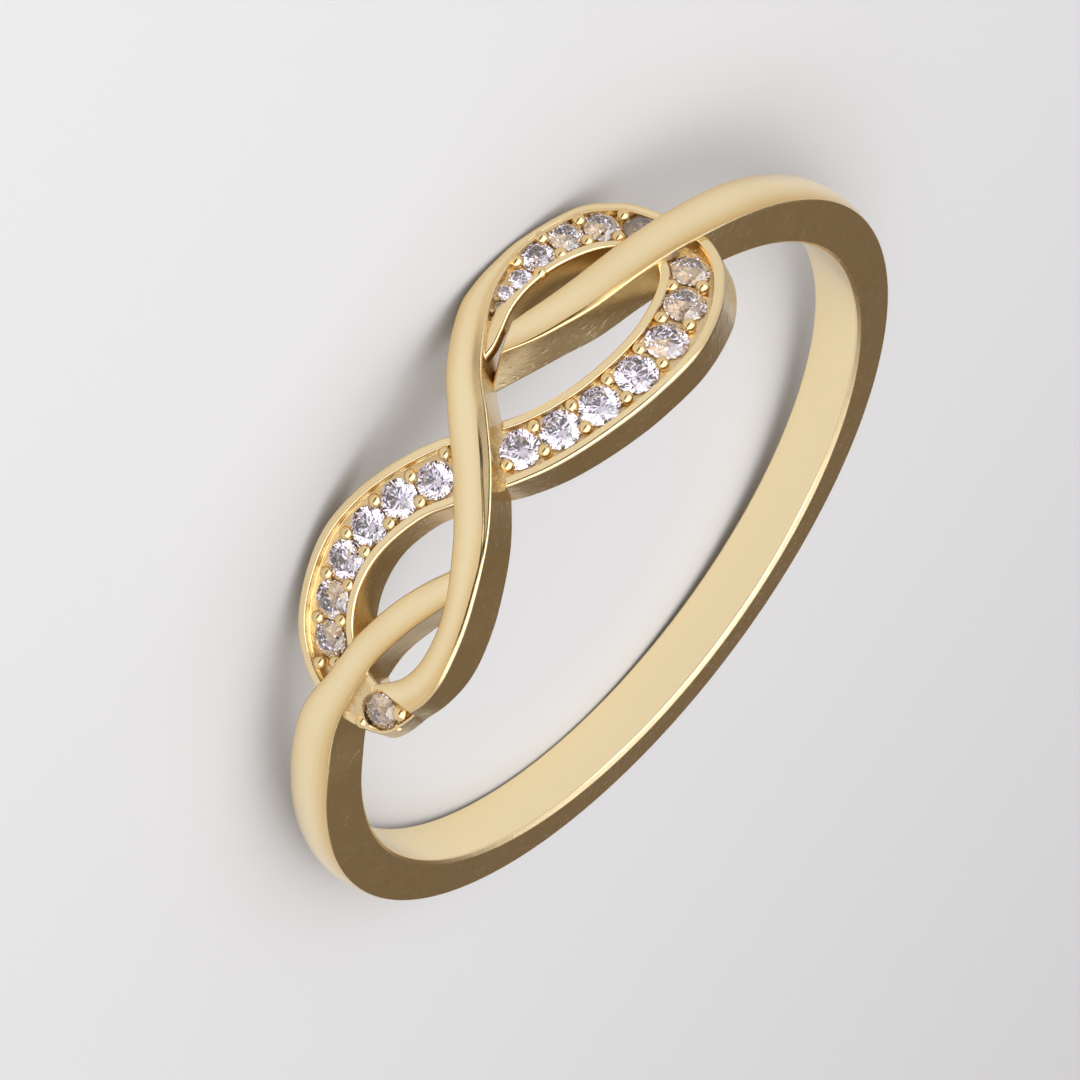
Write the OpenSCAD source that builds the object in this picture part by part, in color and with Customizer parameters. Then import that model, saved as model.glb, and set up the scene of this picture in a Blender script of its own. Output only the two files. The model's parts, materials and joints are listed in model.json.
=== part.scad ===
// Infinity ring: a slim band whose two ends run up as plain strands into a
// pierced figure-eight head. One arm of the eight is a plain domed strand, the
// other a channel of round stones held by shared beads between raised rims.
// The metal is one casting. The ring lies on its side as it would by itself: it
// rests on the far wall of the left loop and on the band opposite it.
// Before it is laid down, the finger axis is Z, the head faces -Y, and X runs
// along the head, so a plan position on the head is [x, z].

/* [Band] */
// Inside diameter of the finger bore
bore_d = 17.3; // [16.9:0.1:18.1]
// Width of the band across its two flat sides
band_w = 1.5; // [1.4:0.05:1.6]
// Thickness of the band at its outer corners
band_t = 1.18; // [1.1:0.02:1.3]
// Rise of the band's domed outer face above its corners
band_dome = 0.1; // [0.06:0.02:0.16]
// How much narrower the band's outer face is on each side than its inside
band_draft = 0.18; // [0.14:0.02:0.22]
// Shift of the band's outer face toward the side that lies upward
band_shift = 0.11; // [0.05:0.02:0.13]
// Size of the bevel along the band's two inner edges
inner_bevel = 0.1; // [0.06:0.02:0.14]
// Angle from the middle of the head at which the band takes its plain section
band_from = 54; // [52:1:58]

/* [Head] */
// Thickness of the metal from the bore to the top of the rims
rim_t = 1.1; // [1.05:0.05:1.2]
// Width of the raised rims beside the stones
rim_w = 0.22; // [0.18:0.02:0.26]
// Depth of the stone channel below the top of the rims
channel_depth = 0.26; // [0.2:0.02:0.3]
// Rise of the plain strand's crown above the rims
strand_rise = 0.28; // [0.24:0.02:0.34]
// Drop of the plain strand's edges below its crown, per mm of half width
strand_dome = 0.3; // [0.2:0.05:0.4]
// Rise of the tips of the band's two ends above the rims
tip_rise = 0.1; // [0.06:0.02:0.14]

/* [Stones] */
// Height of the girdles below the top of the rims
girdle_drop = 0.15; // [0.13:0.01:0.18]
// Gap between each stone and its seat
seat_gap = 0.02; // [0.01:0.01:0.03]
// Radius of the beads that hold the stones
bead_r = 0.15; // [0.13:0.01:0.16]
// Distance of each bead from the line of the stones
bead_out = 0.31; // [0.29:0.01:0.33]

/* [Hidden] */

bore_r = bore_d / 2;
rim_r = bore_r + rim_t;
floor_r = rim_r - channel_depth;
girdle_r = rim_r - girdle_drop;
corner_r = bore_r + band_t;
crown_r = corner_r + band_dome;
// Everything starts this far inside the bore surface and is cut back to it
root = 0.3;
cut = 8;            // half length of the cutting cylinders
over_rim = 0.5;     // tools that cut from outside reach this far above the rims
band_side = band_w / 2;
band_top = band_side - band_draft;
BALANCE = [-0.09, -1.55, 0.22];   // centre of mass of the metal, before it is laid down

// Proportions of a round brilliant, per mm of its diameter
TABLE = 0.57;
CROWN = 0.15;
GIRDLE = 0.03;
PAVILION = 0.42;

// Plain strand. Columns: one edge x, z, the other edge x, z, share of the full rise.
// It starts at its cut end beside the last stone of the right loop, crosses over
// the stone channel and thins out into the far rim of the left loop.
PLAIN = [
    [ 5.62,  1.26,  5.62,  2.40, 1.00],
    [ 5.10,  1.87,  5.15,  2.67, 1.00],
    [ 4.40,  2.12,  4.35,  2.80, 1.00],
    [ 3.40,  2.02,  3.15,  2.65, 1.00],
    [ 2.15,  1.42,  1.66,  2.10, 1.00],
    [ 1.00,  0.56,  0.40,  1.23, 1.00],
    [ 0.00, -0.40, -0.55,  0.33, 1.00],
    [-0.95, -1.24, -1.28, -0.47, 1.00],
    [-2.05, -1.88, -2.25, -1.20, 0.85],
    [-2.75, -2.06, -2.85, -1.56, 0.60],
    [-3.45, -2.12, -3.42, -1.78, 0.30],
    [-4.20, -2.13, -4.17, -1.90, 0.00],
    [-5.50, -1.87, -5.38, -1.67, 0.00],
    [-6.06, -1.46, -5.89, -1.30, 0.00],
    [-6.42, -0.95, -6.21, -0.85, 0.00],
    [-6.70,  0.10, -6.47,  0.10, 0.00],
];

// Stone strand. Columns: one edge x, z, the other edge x, z, rim left on the second edge.
// It starts inside the plain strand's cut end, rounds the right loop, passes under
// the crossing, rounds the left loop and ends as a point beside the plain strand.
FULL = rim_w;
THIN = 0.06;        // here the plain strand's tail is the rim
STONED = [
    [ 5.30,  2.56,  5.05,  1.95, FULL],
    [ 5.80,  2.32,  5.45,  1.55, FULL],
    [ 6.36,  1.98,  5.55,  1.30, FULL],
    [ 6.64,  1.32,  5.50,  1.00, FULL],
    [ 6.66,  0.45,  5.35,  0.62, FULL],
    [ 6.42, -0.40,  5.05,  0.25, FULL],
    [ 5.80, -1.08,  4.60,  0.00, FULL],
    [ 4.90, -1.45,  4.05, -0.12, FULL],
    [ 3.70, -1.60,  3.40, -0.09, FULL],
    [ 2.60, -1.40,  2.70,  0.11, FULL],
    [ 1.60, -1.00,  2.00,  0.44, FULL],
    [ 0.70, -0.50,  1.45,  0.86, FULL],
    [ 0.10, -0.04,  0.85,  1.30, FULL],
    [-0.45,  0.42,  0.25,  1.78, FULL],
    [-1.10,  0.88, -0.65,  2.30, FULL],
    [-2.00,  1.26, -1.80,  2.70, FULL],
    [-3.00,  1.43, -3.10,  2.93, FULL],
    [-3.95,  1.40, -4.45,  2.88, FULL],
    [-4.75,  1.15, -5.60,  2.34, FULL],
    [-5.35,  0.75, -6.45,  1.42, FULL],
    [-5.58,  0.20, -6.76,  0.40, FULL],
    [-5.40, -0.30, -6.45, -0.55, THIN],
    [-5.00, -0.68, -5.98, -1.36, THIN],
    [-4.30, -0.97, -5.10, -1.86, THIN],
    [-3.55, -1.09, -4.10, -2.00, THIN],
    [-2.85, -1.03, -3.20, -1.90, THIN],
    [-2.25, -0.82, -2.40, -1.64, THIN],
    [-1.60, -0.62, -1.70, -1.25, THIN],
];

// The band's two ends. Columns: angle from the middle of the head, z, half width,
// share of the way from the tip's height to the band's, turn of the section away from
// square, how far its foot runs on past its top. The left tip is cut along the plain
// strand beside it and its foot joins that strand.
LEFT_END = [
    [13.2, -0.58, 0.42, 0.0, 44, 0.6],
    [18, -0.25, 0.40, 0.3, 10, 0],
    [24, -0.02, 0.45, 0.6, 0, 0],
    [31,  0.06, 0.47, 0.8, 0, 0],
    [38,  0.10, 0.49, 1.0, 0, 0],
    [46,  0.13, 0.53, 1.0, 0, 0],
    [band_from + 1, band_shift, band_top - 0.02, 1.0, 0, 0],
];
RIGHT_END = [
    [15.5, 2.02, 0.28, 0.0, 0, 0],
    [19, 1.65, 0.32, 0.3, 0, 0],
    [24, 1.19, 0.35, 0.6, 0, 0],
    [31, 0.71, 0.35, 0.8, 0, 0],
    [38, 0.41, 0.35, 1.0, 0, 0],
    [46, 0.05, 0.43, 1.0, 0, 0],
    [band_from + 1, band_shift, band_top - 0.02, 1.0, 0, 0],
];

// Stones. Columns: x, z, diameter. Neighbours in a row share two beads.
RIGHT_ROW = [[1.26, 0.08, 0.88], [2.05, -0.40, 0.92], [2.92, -0.70, 0.92],
             [3.80, -0.80, 0.92], [4.69, -0.68, 0.90], [5.41, -0.36, 0.86]];
RIGHT_LAST = [5.98, 1.50, 0.80];
LAST_BEADS = [[5.73, 1.95], [6.40, 1.10]];
NEAR_ROW = [[-0.38, 1.29, 0.93], [-1.24, 1.73, 0.94], [-2.16, 2.05, 0.96],
            [-3.21, 2.17, 0.98], [-4.20, 2.09, 0.98], [-5.12, 1.70, 0.98],
            [-5.84, 1.09, 0.92]];
FAR_ROW = [[-5.99, -0.53, 0.84], [-5.48, -1.16, 0.84], [-4.81, -1.50, 0.80],
           [-4.05, -1.56, 0.78], [-3.42, -1.46, 0.52], [-2.98, -1.46, 0.38],
           [-2.65, -1.33, 0.28], [-2.36, -1.20, 0.22]];

// Rows into smooth paths: a curve through every row, with n steps a row
function blend4(a, b, c, d, t) =
    0.5 * (2 * b + (c - a) * t + (2 * a - 5 * b + 4 * c - d) * t * t
           + (3 * b - a - 3 * c + d) * t * t * t);
function smooth(rows, n) = let (last = len(rows) - 1) concat(
    [for (i = [0 : last - 1], j = [0 : n - 1])
        blend4(rows[max(i - 1, 0)], rows[i], rows[i + 1], rows[min(i + 2, last)], j / n)],
    [rows[last]]);
function part_of(path, from, to) = [for (i = [from : to]) path[i]];

// Plan points of a two-edged row: across it by a share, or in from an edge by a distance
function across(row, s) = [row[0] + (row[2] - row[0]) * s, row[1] + (row[3] - row[1]) * s];
function row_w(row) = norm([row[2] - row[0], row[3] - row[1]]);

// A plan position raised to a radius about the finger axis. Below the rims the walls
// close in toward the axis: nearly radial along the head, more upright at its two ends.
LEAN_MID = 0.9;
LEAN_END = 0.5;
function lean(x) =
    LEAN_MID + (LEAN_END - LEAN_MID) * max(0, min(1, (abs(x) - 4.5) / 2));
function on_head(p, r) = let (x = p[0] * pow(min(1, r / rim_r), lean(p[0])))
    [x, -sqrt(r * r - x * x), p[1]];
// A position given by its angle from the middle of the head
function on_ring(a, z, r) = [r * sin(a), -r * cos(a), z];

// Cross-sections of a domed strand: root edge, domed top, root edge
DOME = [0, 0.08, 0.22, 0.4, 0.6, 0.78, 0.92, 1];
function dome_r(top, drop, s) = top - drop * pow(2 * s - 1, 2);
function plain_section(row) =
    let (top = rim_r + strand_rise * row[4], drop = strand_dome * row_w(row) / 2)
    concat([on_head(across(row, 0), bore_r - root)],
           [for (s = DOME) on_head(across(row, s), dome_r(top, drop, s))],
           [on_head(across(row, 1), bore_r - root)]);

// The ends follow the ring's surface, so a section is turned square to its path there
function arc_dir(path, i) =
    let (a = path[max(i - 1, 0)], b = path[min(i + 1, len(path) - 1)],
         way = atan2(b[1] - a[1], (b[0] - a[0]) * PI / 180 * rim_r) + path[i][4])
    [cos(way), sin(way)];
function end_section(path, i, side) =
    let (row = path[i], d = arc_dir(path, i), half = row[2],
         turn = 180 / PI / rim_r,
         top = rim_r + tip_rise + (crown_r - rim_r - tip_rise) * row[3] - (row[3] < 1 ? 0 : 0.02),
         at = function (s, r)
             let (low = max(0, corner_r - r) / band_t,
                  out = (2 * s - 1) * (half + band_draft * low))
             on_ring(side * (row[0] - (d[1] * out + row[5] * low) * turn),
                     row[1] - band_shift * low + d[0] * out, r))
    concat([at(0, bore_r - root)], [for (s = DOME) at(s, dome_r(top, band_dome, s))],
           [at(1, bore_r - root)]);

// A closed solid through sections that all have the same number of points
function ring_faces(n, m) = [for (i = [0 : n - 2], j = [0 : m - 1])
    let (a = i * m + j, b = i * m + (j + 1) % m)
    each [[a, a + m, b], [b, a + m, b + m]]];
function cap_faces(m, first) = [for (j = [1 : m - 2]) [first, first + j, first + j + 1]];
function flip(faces, yes = true) = yes ? [for (f = faces) [f[2], f[1], f[0]]] : faces;
module loft(sections, mirrored = false) {
    n = len(sections);
    m = len(sections[0]);
    faces = concat(ring_faces(n, m), cap_faces(m, 0), flip(cap_faces(m, (n - 1) * m)));
    polyhedron([for (s = sections, p = s) p], flip(faces, mirrored));
}

// The ring at rest: it touches with the left loop's lower wall and with one point of the
// band's lower bevel, and its centre of mass stands over the line between the two
touch_r = bore_r + inner_bevel;
touch_z = -band_side + (band_draft + band_shift) * inner_bevel / band_t;
function low(points, n, i = 1, best = 0) =
    i == len(points) ? points[best]
        : low(points, n, i + 1, points[i] * n < points[best] * n ? i : best);
STEPS = 2;
plain_path = smooth(PLAIN, STEPS);
stoned_path = smooth(STONED, STEPS);
left_foot = [for (row = plain_path) if (row[0] < -2) on_head(across(row, 0), bore_r)];
function over(n, foot) = BALANCE - n * ((BALANCE - foot) * n);
function band_touch(from, to) =
    let (d = [to[0] - from[0], to[1] - from[1]] / norm([to[0] - from[0], to[1] - from[1]]),
         along = -(from[0] * d[0] + from[1] * d[1]),
         off = from[0] * d[1] - from[1] * d[0],
         reach = along + sqrt(touch_r * touch_r - off * off))
    [from[0] + d[0] * reach, from[1] + d[1] * reach, touch_z];
function rest_plane(foot, touch) =
    let (n = cross([-touch[1], touch[0], 0], foot - touch)) n / norm(n) * (n[2] < 0 ? -1 : 1);
function settle(n, k) = k == 0 ? n : let (foot = low(left_foot, n))
    settle(rest_plane(foot, band_touch(foot, over(n, foot))), k - 1);
up = settle([0, 0, 1], 6);
lift = -(low(left_foot, up) * up);

module lay_down() {
    translate([0, 0, lift]) rotate(a = acos(up[2]), v = cross(up, [0, 0, 1])) children();
}

// Children stand at a plan position of the head, their Z pointing away from the finger
module stand(at, r) {
    rotate([0, 0, asin(at[0] / r)]) translate([0, -r, at[1]]) rotate([90, 0, 0]) children();
}

// A strip of the stone strand between its leaning walls, or with rims = 1 the channel in
// it. The rims thin out where the strand is narrow.
NARROW = 0.7;
function strip_section(row, low_r, rims) =
    let (w = row_w(row), share = rims * max(0.3, min(1, (w - NARROW) / 0.5)),
         a = across(row, share * rim_w / w), b = across(row, 1 - share * row[4] / w))
    [on_head(a, low_r), on_head(a, rim_r + over_rim),
     on_head(b, rim_r + over_rim), on_head(b, low_r)];
module strip(path, low_r, rims) {
    loft([for (row = path) strip_section(row, low_r, rims)]);
}

module drum(r) {
    translate([0, 0, -cut]) cylinder(h = 2 * cut, r = r, $fn = 180);
}

// Plain band with a domed outside, its inside left thick for the bore to cut
module band() {
    band_root = band_side + band_draft * root / band_t;
    rotate([0, 0, band_from - 90]) rotate_extrude(angle = 360 - 2 * band_from, $fn = 180)
        polygon(concat([[bore_r - root, -band_root - band_shift * root / band_t]],
            [for (s = DOME)
                [dome_r(crown_r, band_dome, s), band_shift + (2 * s - 1) * band_top]],
            [[bore_r - root, band_root - band_shift * root / band_t]]));
}

module bevels() {
    for (side = [0, 1]) mirror([0, 0, side])
        rotate([0, 0, band_from - 90]) rotate_extrude(angle = 360 - 2 * band_from, $fn = 180)
            polygon([[bore_r - root, band_side + root],
                     [bore_r - root, band_side - inner_bevel - root],
                     [bore_r + inner_bevel + root, band_side + root]]);
}

CROSSING = 12;      // row of STONED that lies under the plain strand
module stone_strand() {
    right_to = CROSSING * STEPS;
    left_from = right_to + 1;
    difference() {
        intersection() {
            strip(stoned_path, bore_r - root, 0);
            drum(rim_r);
        }
        difference() {
            union() {
                strip(part_of(stoned_path, 1, right_to), bore_r, 1);
                strip(part_of(stoned_path, left_from, len(stoned_path) - 3), bore_r, 1);
            }
            drum(floor_r);
        }
    }
}

// Beads stand on both sides of the line between two neighbouring stones
module bead(at) {
    stand(at, girdle_r) sphere(r = bead_r, $fn = 24);
}
module beads(row) {
    for (i = [0 : len(row) - 2]) {
        a = [row[i][0], row[i][1]];
        b = [row[i + 1][0], row[i + 1][1]];
        d = (b - a) / norm(b - a);
        for (side = [-1, 1]) bead((a + b) / 2 + side * bead_out * [-d[1], d[0]]);
    }
}

module seat(stone) {
    r = stone[2] / 2 + seat_gap;
    half_girdle = GIRDLE * stone[2] / 2;
    stand(stone, girdle_r) rotate_extrude($fn = 48) polygon([
        [0, -half_girdle - PAVILION * stone[2] - 2 * seat_gap], [r, -half_girdle],
        [r, half_girdle], [TABLE * stone[2] / 2 + seat_gap, half_girdle + CROWN * stone[2] + seat_gap],
        [0, half_girdle + CROWN * stone[2] + seat_gap]]);
}

module casting() {
    color([0.86, 0.69, 0.36]) lay_down() difference() {
        union() {
            band();
            stone_strand();
            loft([for (row = plain_path) plain_section(row)]);
            for (end = [[LEFT_END, -1], [RIGHT_END, 1]]) {
                path = smooth(end[0], STEPS);
                loft([for (i = [0 : len(path) - 1]) end_section(path, i, end[1])], end[1] > 0);
            }
            beads(RIGHT_ROW);
            beads(NEAR_ROW);
            beads(part_of(FAR_ROW, 0, 4));
            for (at = LAST_BEADS) bead(at);
        }
        drum(bore_r);
        bevels();
        for (stone = concat(RIGHT_ROW, [RIGHT_LAST], NEAR_ROW, FAR_ROW)) seat(stone);
    }
}

// Round brilliant: table, 24 crown facets, 16 girdle faces and 16 pavilion facets
function circle_pts(n, r, z, turn = 0) = [for (i = [0 : n - 1]) [r * cos(turn + i * 360 / n), r * sin(turn + i * 360 / n), z]];
module stone(s) {
    d = s[2];
    g = GIRDLE * d / 2;
    table = circle_pts(8, TABLE * d / 2, g + CROWN * d);
    upper = circle_pts(16, d / 2, g);
    lower = circle_pts(16, d / 2, -g);
    crown_faces = [for (i = [0 : 7])
        each [[8 + 2 * i, 8 + (2 * i + 1), i],
              [i, 8 + 2 * i + 1, (i + 1) % 8],
              [8 + 2 * i + 1, 8 + (2 * i + 2) % 16, (i + 1) % 8]]];
    side_faces = [for (i = [0 : 15]) let (k = (i + 1) % 16)
        each [[24 + i, 24 + k, 8 + k], [24 + i, 8 + k, 8 + i], [40, 24 + k, 24 + i]]];
    table_faces = [for (i = [1 : 6]) [0, i, i + 1]];
    color([0.93, 0.93, 0.96]) lay_down() stand(s, girdle_r)
        polyhedron(concat(table, upper, lower, [[0, 0, -g - PAVILION * d]]),
                   flip(concat(table_faces, crown_faces, side_faces), true));
}

module stone_r1() { stone(RIGHT_ROW[0]); }
module stone_r2() { stone(RIGHT_ROW[1]); }
module stone_r3() { stone(RIGHT_ROW[2]); }
module stone_r4() { stone(RIGHT_ROW[3]); }
module stone_r5() { stone(RIGHT_ROW[4]); }
module stone_r6() { stone(RIGHT_ROW[5]); }
module stone_r7() { stone(RIGHT_LAST); }
module stone_n1() { stone(NEAR_ROW[0]); }
module stone_n2() { stone(NEAR_ROW[1]); }
module stone_n3() { stone(NEAR_ROW[2]); }
module stone_n4() { stone(NEAR_ROW[3]); }
module stone_n5() { stone(NEAR_ROW[4]); }
module stone_n6() { stone(NEAR_ROW[5]); }
module stone_n7() { stone(NEAR_ROW[6]); }
module stone_f1() { stone(FAR_ROW[0]); }
module stone_f2() { stone(FAR_ROW[1]); }
module stone_f3() { stone(FAR_ROW[2]); }
module stone_f4() { stone(FAR_ROW[3]); }
module stone_f5() { stone(FAR_ROW[4]); }
module stone_f6() { stone(FAR_ROW[5]); }
module stone_f7() { stone(FAR_ROW[6]); }
module stone_f8() { stone(FAR_ROW[7]); }

casting();
stone_r1();
stone_r2();
stone_r3();
stone_r4();
stone_r5();
stone_r6();
stone_r7();
stone_n1();
stone_n2();
stone_n3();
stone_n4();
stone_n5();
stone_n6();
stone_n7();
stone_f1();
stone_f2();
stone_f3();
stone_f4();
stone_f5();
stone_f6();
stone_f7();
stone_f8();
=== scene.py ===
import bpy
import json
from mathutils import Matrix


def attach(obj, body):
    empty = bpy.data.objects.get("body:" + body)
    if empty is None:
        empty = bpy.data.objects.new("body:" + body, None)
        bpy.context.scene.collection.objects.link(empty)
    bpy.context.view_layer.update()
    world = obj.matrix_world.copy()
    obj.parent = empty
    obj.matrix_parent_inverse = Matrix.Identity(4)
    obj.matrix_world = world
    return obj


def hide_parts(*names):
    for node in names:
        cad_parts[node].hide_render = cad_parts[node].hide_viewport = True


bl_info = {
    "name": "Infinity Ring",
    "version": (1, 0, 0),
    "blender": (4, 5, 0),
    "location": "View3D > Sidebar > Ring",
    "description": "Builds a slim gold ring with a stone-set figure-eight head",
    "category": "Add Mesh",
}

import json
import math

import bpy
import numpy as np

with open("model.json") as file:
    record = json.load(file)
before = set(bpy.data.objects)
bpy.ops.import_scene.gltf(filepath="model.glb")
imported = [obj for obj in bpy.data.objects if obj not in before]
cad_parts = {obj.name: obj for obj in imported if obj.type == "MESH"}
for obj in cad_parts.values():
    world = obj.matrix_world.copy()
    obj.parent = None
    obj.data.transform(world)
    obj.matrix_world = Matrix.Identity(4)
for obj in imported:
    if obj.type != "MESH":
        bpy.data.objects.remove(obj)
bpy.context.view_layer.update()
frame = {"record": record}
FINGER = frame["record"]["mounts"][0]

# The ring's own frame, in millimetres: the finger axis is Z, the head faces -Y, and X runs
# along the head. A plan position on the head is x, z. LIFT and TURN lay the ring down.
AXIS = np.array(FINGER["axis"]) / np.linalg.norm(FINGER["axis"])
LIFT = FINGER["pos_m"][2] * 1000
BORE_R = FINGER["dims"]["r_mm"]


def turn_to(axis):
    """The smallest turn that takes the Z axis to this one: I + V + V V / (1 + cosine), where V
    is the cross product matrix of the turning axis."""
    v = np.array([[0, 0, axis[0]], [0, 0, axis[1]], [-axis[0], -axis[1], 0]])
    return np.eye(3) + v + v @ v / (1 + axis[2])


TURN = turn_to(AXIS)

# Plain strand: one edge x, z, the other edge x, z, share of the full rise
PLAIN = [
    (5.62, 1.26, 5.62, 2.40, 1.00),
    (5.10, 1.87, 5.15, 2.67, 1.00),
    (4.40, 2.12, 4.35, 2.80, 1.00),
    (3.40, 2.02, 3.15, 2.65, 1.00),
    (2.15, 1.42, 1.66, 2.10, 1.00),
    (1.00, 0.56, 0.40, 1.23, 1.00),
    (0.00, -0.40, -0.55, 0.33, 1.00),
    (-0.95, -1.24, -1.28, -0.47, 1.00),
    (-2.05, -1.88, -2.25, -1.20, 0.85),
    (-2.75, -2.06, -2.85, -1.56, 0.60),
    (-3.45, -2.12, -3.42, -1.78, 0.30),
    (-4.20, -2.13, -4.17, -1.90, 0.00),
    (-5.50, -1.87, -5.38, -1.67, 0.00),
    (-6.06, -1.46, -5.89, -1.30, 0.00),
    (-6.42, -0.95, -6.21, -0.85, 0.00),
    (-6.70, 0.10, -6.47, 0.10, 0.00),
]

# Stone strand: one edge x, z, the other edge x, z, rim left on the second edge
FULL = 0.22
THIN = 0.06
STONED = [
    (5.30, 2.50, 5.05, 1.95, FULL),
    (5.75, 2.33, 5.45, 1.55, FULL),
    (6.30, 1.90, 5.55, 1.30, FULL),
    (6.56, 1.28, 5.50, 1.00, FULL),
    (6.66, 0.45, 5.35, 0.62, FULL),
    (6.42, -0.40, 5.05, 0.25, FULL),
    (5.80, -1.08, 4.60, 0.00, FULL),
    (4.90, -1.45, 4.05, -0.12, FULL),
    (3.70, -1.60, 3.40, -0.09, FULL),
    (2.60, -1.40, 2.70, 0.11, FULL),
    (1.60, -1.00, 2.00, 0.44, FULL),
    (0.70, -0.50, 1.45, 0.86, FULL),
    (0.10, -0.04, 0.85, 1.30, FULL),
    (-0.45, 0.42, 0.25, 1.78, FULL),
    (-1.10, 0.88, -0.65, 2.30, FULL),
    (-2.00, 1.26, -1.80, 2.70, FULL),
    (-3.00, 1.43, -3.10, 2.93, FULL),
    (-3.95, 1.40, -4.45, 2.88, FULL),
    (-4.75, 1.15, -5.60, 2.34, FULL),
    (-5.35, 0.75, -6.45, 1.42, FULL),
    (-5.58, 0.20, -6.76, 0.40, FULL),
    (-5.40, -0.30, -6.45, -0.55, THIN),
    (-5.00, -0.68, -5.98, -1.36, THIN),
    (-4.30, -0.97, -5.10, -1.86, THIN),
    (-3.55, -1.09, -4.10, -2.00, THIN),
    (-2.85, -1.03, -3.20, -1.90, THIN),
    (-2.25, -0.82, -2.40, -1.64, THIN),
    (-1.85, -0.70, -2.02, -1.38, THIN),
    (-1.40, -0.68, -1.55, -1.15, THIN),
]

# The band's two ends: angle from the middle of the head, z, half width, share of the way
# from the tip's height to the band's, turn of the section, how far the foot runs on
LEFT_END = [
    (13.2, -0.58, 0.42, 0.0, 44, 0.62),
    (18, -0.25, 0.40, 0.3, 10, 0),
    (24, -0.02, 0.45, 0.6, 0, 0),
    (31, 0.06, 0.47, 0.8, 0, 0),
    (38, 0.10, 0.49, 1.0, 0, 0),
    (46, 0.13, 0.53, 1.0, 0, 0),
]
RIGHT_END = [
    (15.5, 2.02, 0.28, 0.0, 0, 0),
    (19, 1.65, 0.32, 0.3, 0, 0),
    (24, 1.19, 0.35, 0.6, 0, 0),
    (31, 0.71, 0.35, 0.8, 0, 0),
    (38, 0.43, 0.38, 1.0, 0, 0),
    (46, 0.13, 0.51, 1.0, 0, 0),
]
BAND_FROM = 55
BAND_FULL = 66
END_ROWS = 10

# The band and its ends by the angle from the middle of the head: share of the full dome, and
# the slope along the upper edge, its width in mm and its tilt in degrees at either end
DOME_SHARE = ([13, 35, BAND_FULL], [0.18, 0.25, 1.0])
EDGE_WIDTH = ([13, 17, 24, 34, 48], [0.03, 0.06, 0.12, 0.12, 0.06])
EDGE_TILT = {1: ([13, 17, 32, 48], [8, 12, 10, 9]), -1: ([13, 17, 32, 48], [8, 20, 18, 9])}
TIP_LEAD = {1: 0.02, -1: 0.05}

# Stones: x, z, diameter. Neighbours in a row share two beads.
RIGHT_ROW = [(1.26, 0.08, 0.88), (2.05, -0.40, 0.92), (2.92, -0.70, 0.92),
             (3.80, -0.80, 0.92), (4.69, -0.68, 0.90), (5.41, -0.36, 0.86)]
RIGHT_LAST = (5.99, 1.49, 0.84)
LAST_BEADS = [(5.75, 2.00, 1.2), (6.43, 1.14, 1.0), (6.05, 2.06, 0.6), (0.65, -0.05, 1),
              (5.95, -0.36, 1), (5.73, 0.02, 1), (0.06, 1.30, 1)]
NEAR_ROW = [(-0.38, 1.29, 0.93), (-1.24, 1.73, 0.94), (-2.16, 2.05, 0.96),
            (-3.21, 2.17, 0.98), (-4.20, 2.09, 0.98), (-5.12, 1.70, 0.98),
            (-5.84, 1.09, 0.92)]
FAR_ROW = [(-5.99, -0.53, 0.84), (-5.48, -1.16, 0.84), (-4.81, -1.50, 0.80),
           (-4.05, -1.56, 0.78), (-3.42, -1.46, 0.52), (-2.98, -1.46, 0.38),
           (-2.65, -1.33, 0.28), (-2.36, -1.20, 0.22)]
FAR_BEADED = 5
STONES = dict(
    [(f"stone_r{i + 1}", s) for i, s in enumerate(RIGHT_ROW + [RIGHT_LAST])]
    + [(f"stone_n{i + 1}", s) for i, s in enumerate(NEAR_ROW)]
    + [(f"stone_f{i + 1}", s) for i, s in enumerate(FAR_ROW)]
)

# Where the rims stop short of the plain strand's upper edge, in mm, and how far along it
NOTCH = 0.26
NOTCH_BEVEL = 0.08
NOTCH_DEPTH = 0.2
NOTCH_FROM = -1.1
NOTCH_TO = 2.0

# A round brilliant, per mm of its diameter
TABLE_R = 0.285
STAR_R = 0.385
LOWER_R = 0.12
CROWN = 0.15
GIRDLE = 0.03
PAVILION = 0.435

# Which of its facets lie below the girdle: after the table and the 8 upper kites come the 8
# lower ones and 16 girdle faces, and after 24 upper triangles the 16 lower ones
BACK_FACETS = np.repeat([0, 1, 0, 1], [1 + 8, 8, 16 + 24, 16]).astype(np.int32)

# Below the rims the head's walls close toward the axis: nearly radial along the head,
# more upright at its two ends
LEAN_MID = 0.9
LEAN_END = 0.2
LEAN_FROM = 3.2
LEAN_OVER = 2.4

# Stations between two rows of each strand's table
PLAIN_STEPS = 12
STONE_STEPS = 30

# How far the strands' undersides stay outside the finger hole, in mm
PLAIN_CLEAR = 0.003
STONE_CLEAR = 0.006

# Plain strand, by x: share of the slope that is a ledge, share that has turned into the narrow
# chamfer of the foot, and share of the slope's width. By row: share of the foot's rise from
# below. By the share of the way across: the painted highlight, a paler colour along the middle,
# with painted shade toward the edges.
LEDGE = ([-0.6, 0.3, 1.6, 2.2], [0, 1, 1, 0])
CHAMFERED = ([1.7, 2.5], [0, 1])
SLOPE_SHARE = ([-0.4, 0.5, 2.1], [1, 0.9, 0.2])
PLAIN_FOOT = ([0.3, 2.4], [1, 0])
PLAIN_PAINTED_HIGHLIGHT = ([0, 0.4, 0.6, 0.8, 1], [0.1, 1, 0.9, 0.3, 0.5])

# Its upper edge, each as the value everywhere, what the ledge adds and what the foot adds: width
# of the step, fall of step and slope as shares of their widths, radius of their corners. Then
# the chamfer's width, and the strand's width from which the edge has its full size.
STEP_WIDTH = (0.045, 0, 0.015)
STEP_FALL = (0.2, 0.25, 0.1)
SLOPE_FALL = (0.25, -0.05, 0.66)
SOFT_EDGE = (0.06, -0.05, 0)
CHAMFER = 0.04
FULL_EDGE = 0.6

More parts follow.
